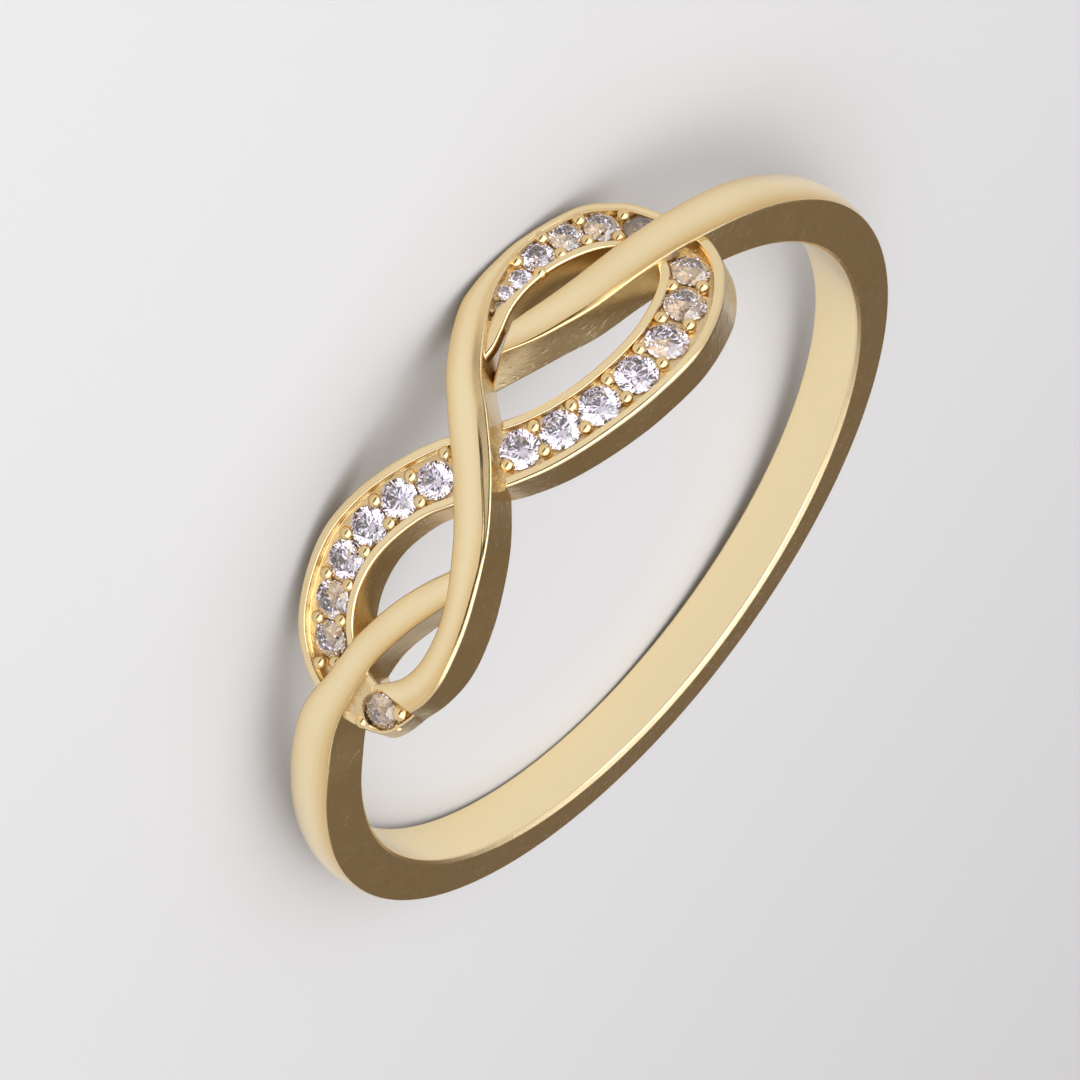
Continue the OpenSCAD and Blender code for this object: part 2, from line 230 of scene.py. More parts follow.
# Stone strand, by width: share of the rims' width. By row: that share for the near rim at the
# foot, the near rim's least width at the tail, share of the channel's depth at its two ends
# and under the band's end, shares of the rise of foot and tail from below.
RIM_SHARE = ([0.85, 1.2], [0.3, 1])
RIM_AT_FOOT = ([2.5, 4.5], [0.4, 1])
RIM_AT_TAIL = ([23.8, 25.6], [0.06, 0.34])
CHANNEL_ENDS = ([0.36, 0.9, 24.8, 25.52], [0.1, 1, 1, 0.1])
CHANNEL_BRIDGE = ([2.45, 2.8, 3.7, 4.3], [1, 0.15, 0.15, 1])
STONE_FOOT = ([1.8, 3.6], [1, 0])
STONE_TAIL = ([24.6, 26.0], [0, 1])
TAIL_RISE = 1.4

# Room round each stone in its seat, to the side and below, in mm, and how much further each
# stone is turned on its own axis than the one before, in radians
SEAT_ROOM = 0.02
SEAT_DEPTH = 0.05
STONE_TURN = 0.35

# What all sizes, and all colours, share in the panel
SIZE = {"unit": "LENGTH", "precision": 5}
COLOUR = {"subtype": "COLOR", "min": 0.0, "max": 1.0}


class RingShape(bpy.types.PropertyGroup):
    """Sizes of the gold parts."""

    band_width: bpy.props.FloatProperty(
        name="Band width", description="Width of the band at the finger",
        default=0.0015, **SIZE)
    band_thickness: bpy.props.FloatProperty(
        name="Band thickness", description="Thickness of the band at its outer corners",
        default=0.00118, **SIZE)
    band_dome: bpy.props.FloatProperty(
        name="Band dome", description="Rise of the band's outside above its corners",
        default=0.0001, **SIZE)
    band_draft: bpy.props.FloatProperty(
        name="Band draft", description="How much each side of the band comes in outward",
        default=0.00018, **SIZE)
    band_shift: bpy.props.FloatProperty(
        name="Band shift", description="Shift of the band's outside toward its upper side",
        default=0.00011, **SIZE)
    inner_bevel: bpy.props.FloatProperty(
        name="Inner bevel", description="Bevel along the band's two inner edges",
        default=0.0001, **SIZE)
    rim_height: bpy.props.FloatProperty(
        name="Rim height", description="From the finger to the top of the rims",
        default=0.0011, **SIZE)
    channel_depth: bpy.props.FloatProperty(
        name="Channel depth", description="Depth of the stone channel below the rims",
        default=0.0002, **SIZE)
    foot_rise: bpy.props.FloatProperty(
        name="Foot rise", description="How far the stone strand thins at its two ends",
        default=0.00055, **SIZE)
    girdle_drop: bpy.props.FloatProperty(
        name="Girdle drop", description="Depth of the stones' girdles below the rims",
        default=0.00015, **SIZE)
    strand_rise: bpy.props.FloatProperty(
        name="Strand rise", description="Rise of the plain strand's crown above the rims",
        default=0.00028, **SIZE)
    strand_dome: bpy.props.FloatProperty(
        name="Strand dome", description="Rise of the strand's top from shoulders to crown",
        default=0.00004, **SIZE)
    strand_slope: bpy.props.FloatProperty(
        name="Strand slope", description="Width of the slope on the upper side",
        default=0.0002, **SIZE)
    tip_rise: bpy.props.FloatProperty(
        name="Tip rise", description="Rise of the band's tips above the rims",
        default=0.0001, **SIZE)
    bead_radius: bpy.props.FloatProperty(
        name="Bead radius", description="Radius of the beads that hold the stones",
        default=0.00017, **SIZE)
    bead_drop: bpy.props.FloatProperty(
        name="Bead drop", description="Depth of the beads' middles below the rims",
        default=0.00011, **SIZE)
    bead_reach: bpy.props.FloatProperty(
        name="Bead reach", description="Distance of each bead from the line of stones",
        default=0.00031, **SIZE)


class RingFinish(bpy.types.PropertyGroup):
    """Colours and gloss of the gold and the stones."""

    gold_colour: bpy.props.FloatVectorProperty(
        name="Gold", description="Colour of the polished gold",
        default=(1.0, 0.79, 0.45), **COLOUR)
    gold_roughness: bpy.props.FloatProperty(
        name="Polish", description="Roughness of the polished gold", subtype="FACTOR",
        default=0.17, min=0.0, max=1.0)
    cast_colour: bpy.props.FloatVectorProperty(
        name="Cast gold", description="Colour of the walls' cast gold",
        default=(0.86, 0.72, 0.46), **COLOUR)
    cast_roughness: bpy.props.FloatProperty(
        name="Wall finish", description="Roughness of the walls' cast gold",
        subtype="FACTOR", default=0.26, min=0.0, max=1.0)
    stone_colour: bpy.props.FloatVectorProperty(
        name="Stone", description="Tint of the clear stones",
        default=(0.97, 0.95, 0.98), **COLOUR)
    back_colour: bpy.props.FloatVectorProperty(
        name="Stone back", description="Tint of the stones' lower facets",
        default=(0.9, 0.87, 0.93), **COLOUR)
    stone_bend: bpy.props.FloatProperty(
        name="Index", description="Refractive index of the stones",
        default=2.42, min=1.0, max=3.0)


class RingStudio(bpy.types.PropertyGroup):
    """Floor, surroundings, lights and camera."""

    floor_colour: bpy.props.FloatVectorProperty(
        name="Floor", description="Colour of the plain floor",
        default=(0.56, 0.56, 0.575), **COLOUR)
    room_colour: bpy.props.FloatVectorProperty(
        name="Room", description="Colour of the room behind the ring",
        default=(0.18, 0.13, 0.078), **COLOUR)
    dusk_colour: bpy.props.FloatVectorProperty(
        name="Dusk", description="Colour of the darker room in front of the ring",
        default=(0.03, 0.022, 0.014), **COLOUR)
    side_colour: bpy.props.FloatVectorProperty(
        name="Sides", description="Colour of the room to the left and right",
        default=(0.72, 0.7, 0.71), **COLOUR)
    ceiling_colour: bpy.props.FloatVectorProperty(
        name="Ceiling", description="Colour of the room overhead",
        default=(0.5, 0.48, 0.46), **COLOUR)
    room_strength: bpy.props.FloatProperty(
        name="Room light", description="Brightness of the room", default=1.0, min=0.0)
    front_power: bpy.props.FloatProperty(
        name="Front light", description="Power of the soft light in front and above",
        default=0.2, min=0.0, unit="POWER", precision=3)
    top_power: bpy.props.FloatProperty(
        name="Top light", description="Power of the wide even light overhead",
        default=17.0, min=0.0, unit="POWER", precision=3)
    lens: bpy.props.FloatProperty(
        name="Lens", description="Focal length on a 36 mm sensor, in millimetres",
        default=165.8, min=10.0)


def mm(value):
    """A size held in metres, as millimetres."""
    return value * 1000


def smooth(rows, per_row):
    """A curve through every row: between two rows it is the cubic whose slope at each row is
    half the step between that row's two neighbours."""
    rows = np.asarray(rows, float)
    held = np.vstack([rows[:1], rows, rows[-1:]])
    t = np.linspace(0, len(rows) - 1, (len(rows) - 1) * per_row + 1)
    i = np.minimum(t.astype(int), len(rows) - 2)
    f = (t - i)[:, None]
    a, b, c, d = (held[i + k] for k in range(4))
    return 0.5 * (2 * b + (c - a) * f + (2 * a - 5 * b + 4 * c - d) * f ** 2
                  + (3 * b - a - 3 * c + d) * f ** 3)


def ease(t):
    """A soft step: 3 t t - 2 t t t."""
    return t * t * (3 - 2 * t)


def columns(*parts):
    """Arrays or numbers side by side: points from their coordinates, faces from their corners."""
    return np.stack(np.broadcast_arrays(*parts), axis=-1)


def on_head(x, z, r, rim_r):
    """A plan position raised to a radius about the finger: y = -sqrt(r r - x x), with x first
    drawn in by (r / rim radius) to the power of the lean."""
    out = np.clip((np.abs(x) - LEAN_FROM) / LEAN_OVER, 0, 1)
    lean = LEAN_MID + (LEAN_END - LEAN_MID) * out
    x = x * np.minimum(1, r / rim_r) ** lean
    return columns(x, -np.sqrt(r * r - x * x), z)


def on_ring(angle, z, r):
    """A position given by its angle from the middle of the head, in radians."""
    return columns(r * np.sin(angle), -r * np.cos(angle), z)


def rounded(corners, radii, steps=5):
    """Closed profiles with soft corners. At each corner the outline leaves its edges a radius
    away and follows the quadratic curve whose control point is the corner. A further point
    on each edge keeps the flats flat. Radii that would meet on an edge are scaled to fit.
    corners is stations x corners x 2; the result is stations x corners x points x 2."""
    radii = np.broadcast_to(radii, corners.shape[:2]).astype(float)
    edge = np.roll(corners, -1, axis=1) - corners
    length = np.maximum(np.linalg.norm(edge, axis=2), 1e-9)
    way = edge / length[..., None]
    both = radii + np.roll(radii, -1, axis=1)
    fit = np.minimum(1, 0.9 * length / np.maximum(both, 1e-9))
    leave = radii * fit
    reach = np.roll(np.roll(radii, -1, axis=1) * fit, 1, axis=1)
    spare = (length - leave - np.roll(reach, -1, axis=1)) * 0.3
    way_in = np.roll(way, 1, axis=1)
    pad_out = np.minimum(spare, leave * 0.5)
    pad_in = np.minimum(np.roll(spare, 1, axis=1), reach * 0.5)
    start = corners - way_in * reach[..., None]
    end = corners + way * leave[..., None]
    t = np.linspace(0, 1, steps + 1)[:, None]
    curve = ((1 - t) ** 2 * start[:, :, None] + 2 * t * (1 - t) * corners[:, :, None]
             + t ** 2 * end[:, :, None])
    first = start - way_in * pad_in[..., None]
    last = end + way * pad_out[..., None]
    return np.concatenate([first[:, :, None], curve, last[:, :, None]], axis=2)


def stack_corners(*corners):
    """Profile corners, each a pair of station arrays or numbers, as one array."""
    flat = columns(*[v for pair in corners for v in pair])
    return flat.reshape(len(flat), -1, 2).astype(float)


def over_tube(values, caps=3):
    """One value a point of a tube, from values given as stations x points: the caps take the
    values of the end rings, and the two middle points their means."""
    values = np.concatenate([np.repeat(values[:1], caps, axis=0), values,
                             np.repeat(values[-1:], caps, axis=0)])
    return np.concatenate([values.ravel(), [values[0].mean(), values[-1].mean()]])


def tube(rings, shrink=(0.97, 0.85, 0.5)):
    """A closed surface through rings of points, stations x points x 3. Each end is closed by
    the same ring drawn in toward its middle in a few steps, then by a fan."""
    def cap(ring):
        middle = ring.mean(axis=0)
        return [middle + (ring - middle) * s for s in shrink]

    rings = np.concatenate([np.array(cap(rings[0])[::-1]), rings, np.array(cap(rings[-1]))])
    n, m = rings.shape[:2]
    points = np.vstack([rings.reshape(-1, 3), rings[0].mean(axis=0), rings[-1].mean(axis=0)])
    i, j = np.meshgrid(np.arange(n - 1) * m, np.arange(m), indexing="ij")
    k = (j + 1) % m
    quads = columns(i + j, i + k, i + m + k, i + m + j).reshape(-1, 4)
    j = np.arange(m)
    k = (j + 1) % m
    last = (n - 1) * m
    return points, [quads, np.vstack([columns(n * m, k, j), columns(n * m + 1, last + j, last + k)])]


def outward(points, faces):
    """Turns the faces round if the volume they enclose, the sum of the products of corner
    triangles, comes out negative."""
    volume = 0
    for group in faces:
        a = points[group[:, 0]]
        for k in range(1, group.shape[1] - 1):
            b, c = points[group[:, k]], points[group[:, k + 1]]
            volume += np.einsum("ij,ij->", a, np.cross(b, c))
    return [group[:, ::-1] for group in faces] if volume < 0 else faces


def new_object(name, data):
    """An object with this data, in the scene."""
    made = bpy.data.objects.new(name, data)
    bpy.context.scene.collection.objects.link(made)
    return made


def make_piece(name, points, faces, replaced, flat=False, pale=0.7):
    """Lays the points down, sets them in metres and makes one mesh that rides on the ring.
    Edges sharper than 40 degrees are shaded sharp. Each point keeps its way round the finger,
    its z and its radius, in mm, for the polish to follow, and its painted highlight: how far its
    colour is painted paler, or deeper as painted shade."""
    faces = outward(points, faces)
    world = (points @ TURN.T + (0, 0, LIFT)) / 1000
    mesh = bpy.data.meshes.new(name)
    mesh.from_pydata(world.tolist(), [], [f for group in faces for f in group.tolist()])
    mesh.polygons.foreach_set("use_smooth", [not flat] * len(mesh.polygons))
    mesh.update()
    if not flat:
        mesh.set_sharp_from_angle(angle=math.radians(40))
    radius = np.hypot(points[:, 0], points[:, 1])
    round_way = np.abs(np.arctan2(points[:, 0], -points[:, 1])) * BORE_R
    grain = mesh.attributes.new("grain", "FLOAT_VECTOR", "POINT")
    grain.data.foreach_set("vector", columns(round_way, points[:, 2], radius).ravel())
    # The painted highlight of each point: high makes its colour paler, low makes it deeper as
    # painted shade
    tone = mesh.attributes.new("pale", "FLOAT", "POINT")
    tone.data.foreach_set("value", np.broadcast_to(pale, len(points)).astype(float))
    piece = new_object(name, mesh)
    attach(piece, "root")
    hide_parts(*replaced)
    return piece


def wall_faces(mesh):
    """Which faces are walls: less than 0.75 of their normal points along the direction from
    the finger's axis."""
    count = len(mesh.polygons)
    middle = np.empty(count * 3)
    normal = np.empty(count * 3)
    mesh.polygons.foreach_get("center", middle)
    mesh.polygons.foreach_get("normal", normal)
    middle = (middle.reshape(-1, 3) * 1000 - (0, 0, LIFT)) @ TURN
    normal = normal.reshape(-1, 3) @ TURN
    out = middle[:, :2] / np.linalg.norm(middle[:, :2], axis=1, keepdims=True)
    return np.abs(np.einsum("ij,ij->i", normal[:, :2], out)) < 0.75


def gild(piece, index=0):
    """Polished gold all over, with the cast gold of the walls on every wall face."""
    piece.data.materials.append(material("Polished gold", polished_gold))
    piece.data.materials.append(material("Cast gold", cast_gold))
    index = np.where((index == 0) & wall_faces(piece.data), 1, index)
    piece.data.polygons.foreach_set("material_index", index.astype(np.int32))


class Value:
    """A shader socket that can be used in Python expressions."""

    def __init__(self, nodes, socket):
        self.nodes = nodes
        self.socket = socket

    def maths(self, operation, *inputs):
        return self.nodes.add("ShaderNodeMath", {"operation": operation},
                              dict(enumerate(inputs)))

    def __add__(self, other):
        return self.maths("ADD", self, other)

    def __radd__(self, other):
        return self.maths("ADD", other, self)

    def __sub__(self, other):
        return self.maths("SUBTRACT", self, other)

    def __rsub__(self, other):
        return self.maths("SUBTRACT", other, self)

    def __mul__(self, other):
        return self.maths("MULTIPLY", self, other)

    def __rmul__(self, other):
        return self.maths("MULTIPLY", other, self)


class Nodes:
    """Adds nodes to one material or world."""

    def __init__(self, owner):
        owner.use_nodes = True
        self.tree = owner.node_tree
        self.tree.nodes.clear()

    def add(self, kind, settings=None, inputs=None, output=0):
        """One node: its settings are set first, then its sockets' values or links."""
        node = self.tree.nodes.new(kind)
        for key, value in (settings or {}).items():
            setattr(node, key, value)
        for key, value in (inputs or {}).items():
            if isinstance(value, Value):
                self.tree.links.new(value.socket, node.inputs[key])
            else:
                node.inputs[key].default_value = value
        return Value(self, node.outputs[output]) if node.outputs else node

    def noise(self, scale, detail=2.0, roughness=0.5, place=None):
        """Noise over a place, or else over the piece's own coordinates, in features a metre."""
        place = place or self.add("ShaderNodeTexCoord", output="Object")
        return self.add("ShaderNodeTexNoise", {"noise_dimensions": "3D"},
                        {"Vector": place, "Scale": scale, "Detail": detail,
                         "Roughness": roughness})

    def grain(self, scale, detail=2.0, roughness=0.5):
        """Noise over the way round the finger, z and radius, in features per mm of each."""
        place = self.add("ShaderNodeAttribute", {"attribute_name": "grain"}, output="Vector")
        place = self.add("ShaderNodeVectorMath", {"operation": "MULTIPLY"},
                         {0: place, 1: scale}, output="Vector")
        return self.noise(1.0, detail, roughness, place)

    def step(self, value, low, high):
        """A soft step from 0 at low to 1 at high."""
        return self.add("ShaderNodeMapRange", {"interpolation_type": "SMOOTHSTEP"},
                        {"Value": value, "From Min": low, "From Max": high})

    def bump(self, height, strength, distance):
        """Relief for a shader's Normal socket."""
        return self.add("ShaderNodeBump", None,
                        {"Strength": strength, "Distance": distance, "Height": height})

    def surface(self, inputs):
        """The one shader of a material, with these values or links, and the output."""
        shader = self.add("ShaderNodeBsdfPrincipled", None, inputs)
        self.add("ShaderNodeOutputMaterial", None, {"Surface": shader})

    def mix(self, factor, a, b):
        """A colour between a and b."""
        return self.add("ShaderNodeMix", {"data_type": "RGBA"},
                        {"Factor": factor, "A": a, "B": b}, output="Result")


def material(name, paint):
    """The material of this name, painted when it is first asked for."""
    made = bpy.data.materials.get(name)
    if not made:
        made = bpy.data.materials.new(name)
        paint(Nodes(made), bpy.context.scene.ring_finish)
    return made


def polished_gold(nodes, finish):
    """Polished yellow gold: faint waves, and fine streaks that run round the finger as the
    polishing wheel left them. Its colour carries a painted highlight, pale along the middle of
    each top, and painted shade, deep toward the edges; it also drifts a little over a few
    millimetres."""
    broad = nodes.noise(330.0, 1.0)
    waves = nodes.noise(900.0, 2.0)
    streaks = nodes.grain((0.5, 14.0, 14.0), 3.0, 0.6)
    hairlines = nodes.grain((1.5, 60.0, 60.0), 2.0)
    pale = nodes.add("ShaderNodeAttribute", {"attribute_name": "pale"}, output="Fac")
    colour = tuple(finish.gold_colour)
    # light is the colour of the painted highlight and deep that of the painted shade; the painted
    # highlight attribute, with random drift and streaks, mixes between them
    light = (1.0, colour[1] * 1.06, colour[2] * 1.15, 1.0)
    deep = (colour[0] * 0.79, colour[1] * 0.68, colour[2] * 0.5, 1.0)
    rough = finish.gold_roughness
    nodes.surface({
        "Base Color": nodes.mix(pale + broad * 0.5 + streaks * 0.2 - 0.35, deep, light),
        "Metallic": 1.0,
        "Roughness": rough * 0.6 + (hairlines * 0.5 + streaks * 0.4) * rough,
        "Normal": nodes.bump(waves * 0.8 + streaks * 0.15 + hairlines * 0.03, 0.1, 0.00004)})


def cast_gold(nodes, finish):
    """The walls' gold: satin rather than mirror bright, with clouds of deeper colour and
    small pits that the polishing wheel did not reach."""
    clouds = nodes.noise(1500.0, 4.0, 0.6)
    lumps = nodes.noise(6000.0, 3.0, 0.6)
    colour = tuple(finish.cast_colour)
    deep = (colour[0] * 0.8, colour[1] * 0.74, colour[2] * 0.7, 1.0)
    pits = nodes.step(lumps, 0.3, 0.42)
    nodes.surface({
        "Base Color": nodes.mix(clouds * 1.1 + lumps * 0.3 - 0.3, (*colour, 1.0), deep),
        "Metallic": 1.0,
        "Roughness": finish.cast_roughness * 0.7 + clouds * 0.15,
        "Normal": nodes.bump(pits * 0.4 + clouds * 1.2, 0.25, 0.00003)})


def channel_gold(nodes, finish):
    """The channel's floor: the same gold as it comes from the graver, bright but uneven."""
    lumps = nodes.noise(5000.0, 3.0, 0.6)
    grain = nodes.noise(16000.0, 2.0)
    colour = tuple(finish.cast_colour)
    deep = (colour[0] * 0.85, colour[1] * 0.72, colour[2] * 0.55, 1.0)
    nodes.surface({
        "Base Color": nodes.mix(lumps, (*colour, 1.0), deep),
        "Metallic": 1.0,
        "Roughness": 0.2 + grain * 0.2,
        "Normal": nodes.bump(lumps + grain * 0.3, 0.6, 0.00006)})


def clear_stone(nodes, finish):
    """Cut clear stone: refracting, with facets polished flat and a trace of haze."""
    haze = nodes.noise(4000.0, 1.0)
    nodes.surface({"Base Color": (*finish.stone_colour, 1.0), "IOR": finish.stone_bend,
                   "Transmission Weight": 1.0, "Roughness": haze * 0.02})


def stone_back(nodes, finish):
    """The stones' lower facets: they send back all the light that falls on them."""
    haze = nodes.noise(4000.0, 1.0)
    nodes.surface({"Base Color": (*finish.back_colour, 1.0), "Metallic": 1.0,
                   "Roughness": haze * 0.04})


def rim_radius(shape):
    """From the finger's axis to the top of the rims."""
    return BORE_R + mm(shape.rim_height)


def end_stations(rows, tip):
    """The rows of one end run on into the band's own section. The tip is rounded: its first
    stations lead it by tip times sin v and draw its section in by tip times 1 - cos v."""
    shape = bpy.context.scene.ring_shape
    top = mm(shape.band_width) / 2 - mm(shape.band_draft)
    shift = mm(shape.band_shift)
    plain = [(angle, shift, top, 1.0, 0, 0) for angle in np.linspace(BAND_FROM, BAND_FULL, 3)]
    path = smooth(rows + plain, END_ROWS)
    v = np.radians([90, 70, 50, 30, 12])
    lead = np.concatenate([tip * np.sin(v), np.zeros(len(path))])
    inset = np.concatenate([tip * (1 - np.cos(v)), np.zeros(len(path))])
    path = np.vstack([np.repeat(path[:1], len(v), axis=0), path])
    return np.column_stack([path, lead, inset])


def band_rings(stations, side, bevel):
    """Sections of the band or of one of its ends, and the painted highlight of each point. Across
    a section the distance w from the middle turns into an angle and a z by the path's own
    direction there, and both sides spread by the draft from the outer corner down to the
    finger. A slope runs along the upper edge. The painted highlight is strongest inside the
    finger hole and falls off outside by the cosine of w, from a little below the middle, to the
    power 0.8, into painted shade toward the edges."""
    shape = bpy.context.scene.ring_shape
    angle, z, half, share, turned, foot, lead, inset = stations.T
    thick = mm(shape.band_thickness)
    draft = mm(shape.band_draft)
    full = mm(shape.band_dome)
    dome = full * np.interp(angle, *DOME_SHARE)
    slope = np.interp(angle, *EDGE_WIDTH)
    tilt = np.radians(np.interp(angle, *EDGE_TILT[side]))
    rim_r = rim_radius(shape)
    corner_r = BORE_R + thick
    low_top = rim_r + mm(shape.tip_rise)
    side_r = low_top + (corner_r + full - low_top) * share - dome - inset
    half = half - inset
    angle = np.radians(angle)
    body = slice(np.count_nonzero(lead), None)
    way = np.arctan2(np.gradient(z[body]), np.gradient(angle[body] * rim_r))
    way = np.concatenate([np.full(len(angle) - len(way), way[0]), way]) + np.radians(turned)
    angle = angle - lead * np.cos(way) / rim_r
    z = z - lead * np.sin(way)
    foot_w = half + draft
    bevel_w = half + draft * (1 - bevel / thick)
    corners = stack_corners(
        (0, BORE_R), (-(foot_w - bevel), BORE_R), (-bevel_w, BORE_R + bevel), (-half, side_r),
        (0, side_r + 2 * dome),
        (half - slope, side_r), (half, side_r - slope * np.tan(tilt)),
        (bevel_w, BORE_R + bevel), (foot_w - bevel, BORE_R))
    radii = (0.3, 0.03, 0.03, 0.1, 0.6, 0.03, 0.05, 0.03, 0.03)
    profile = rounded(corners, radii, 6).reshape(len(stations), -1, 2)
    w, r = profile[..., 0], profile[..., 1]
    across = np.clip(w / half[:, None] + 0.1, -1, 1)
    # Painted highlight: strongest inside the finger hole, pale along the middle outside, falling
    # into painted shade toward the edges
    pale = np.where(r < BORE_R + bevel / 2, 1.1, np.cos(across * math.pi / 2) ** 0.8)
    low = np.maximum(0, corner_r - r) / thick
    turn_w = (np.sin(way)[:, None] * w + foot[:, None] * low) / rim_r
    ring_z = z[:, None] - mm(shape.band_shift) * low + np.cos(way)[:, None] * w
    return on_ring(side * (angle[:, None] - turn_w), ring_z, r), pale


class RING_OT_band(bpy.types.Operator):
    """Makes the band and its two ends as one strand"""

    bl_idname = "ring.band"
    bl_label = "Band"

    def execute(self, context):
        shape = context.scene.ring_shape
        bevel = mm(shape.inner_bevel)
        right, right_painted_highlight = band_rings(end_stations(RIGHT_END, TIP_LEAD[1]), 1, bevel)
        left, left_painted_highlight = band_rings(end_stations(LEFT_END, TIP_LEAD[-1]), -1, bevel)
        around = np.arange(BAND_FULL + 2, 360 - BAND_FULL - 1, 2.0)
        top = mm(shape.band_width) / 2 - mm(shape.band_draft)
        rows = np.zeros((len(around), 8))
        rows[:, 0] = around
        rows[:, 1:4] = (mm(shape.band_shift), top, 1.0)
        band, band_painted_highlight = band_rings(rows, 1, bevel)
        points, faces = tube(np.concatenate([right, band, left[::-1]]))
        # The painted highlight of every point in tube order: pale middles, painted shade at the
        # edges
        pale = over_tube(np.concatenate([right_painted_highlight, band_painted_highlight, left_painted_highlight[::-1]]))
        piece = make_piece("band", points, faces, ["casting"], pale=pale)
        gild(piece)
        return {"FINISHED"}


def strand_plan(rows):
    """Edges, width and one unit step across each row."""
    e0, e1 = rows[:, 0:2], rows[:, 2:4]
    width = np.linalg.norm(e1 - e0, axis=1)
    return e0, e1, width


def strand_rings(rows, profile, rim_r):
    """Profiles of distance across and radius, carried along a strand of the head."""
    e0, e1, width = strand_plan(rows)
    w, r = profile[..., 0], profile[..., 1]
    s = w / width[:, None]
    plan = e0[:, None] + (e1 - e0)[:, None] * s[..., None]
    return on_head(plan[..., 0], plan[..., 1], r, rim_r)


class RING_OT_plain_strand(bpy.types.Operator):
    """Makes the plain strand of the head: a low domed top, with a step and a slope on its
    upper side"""

    bl_idname = "ring.plain_strand"
    bl_label = "Plain strand"

    def execute(self, context):
        shape = context.scene.ring_shape
        rows = smooth(PLAIN, PLAIN_STEPS)
        rim_r = rim_radius(shape)
        width = strand_plan(rows)[2]
        share = rows[:, 4]
        x = rows[:, 2]
        station = np.arange(len(rows)) / PLAIN_STEPS
        foot = ease(np.interp(station, *PLAIN_FOOT))
        base_r = BORE_R + PLAIN_CLEAR + mm(shape.foot_rise) * foot
        shoulder_r = rim_r + (mm(shape.strand_rise) - mm(shape.strand_dome) / 2) * share
        ledge = np.interp(x, *LEDGE)
        late = np.interp(x, *CHAMFERED)
        fit = np.minimum(1, width / FULL_EDGE) * (0.2 + 0.8 * share)
        slope = mm(shape.strand_slope) * np.interp(x, *SLOPE_SHARE)
        slope = (slope * (1 - late) + CHAMFER * late) * fit
        step = self.by_place(STEP_WIDTH, ledge, late) * fit
        fall = step * self.by_place(STEP_FALL, ledge, late)
        drop = fall + slope * self.by_place(SLOPE_FALL, ledge, late)
        far = np.minimum(0.1, 0.2 * width)
        corners = stack_corners(
            (width / 2, base_r), (0, base_r), (0, shoulder_r - 0.05 * fit),
            (far, shoulder_r), (width / 2, shoulder_r + mm(shape.strand_dome) * 0.7 * share),
            (width - slope - step, shoulder_r), (width - slope, shoulder_r - fall),
            (width, shoulder_r - drop), (width, base_r))
        soft = self.by_place(SOFT_EDGE, ledge, late)
        radii = columns(0.3, 0.03, 0.07, 0.07, 0.5, soft, soft, 0.045, 0.03)
        profile = rounded(corners, radii).reshape(len(rows), -1, 2)
        points, faces = tube(strand_rings(rows, profile, rim_r))
        # Painted highlight across the strand: paler along the middle, painted shade at the edges and
        # on the slope
        across = profile[..., 0] / width[:, None]
        pale = over_tube(np.interp(across, *PLAIN_PAINTED_HIGHLIGHT))
        piece = make_piece("plain_strand", points, faces, ["casting"], pale=pale)
        gild(piece)
        return {"FINISHED"}

    def by_place(self, values, ledge, late):
        """The value everywhere, plus the ledge's and the foot's, each by its share."""
        return values[0] + values[1] * ledge + values[2] * late


def stone_axes(girdle_r):
    """Seats of all stones: middle, the direction away from the finger, and along the head."""
    stones = np.array(list(STONES.values()))
    angle = np.arcsin(stones[:, 0] / girdle_r)
    middle = on_ring(angle, stones[:, 1], girdle_r)
    out = columns(np.sin(angle), -np.cos(angle), 0)
    along = columns(np.cos(angle), np.sin(angle), 0)
    return stones[:, 2], middle, out, along


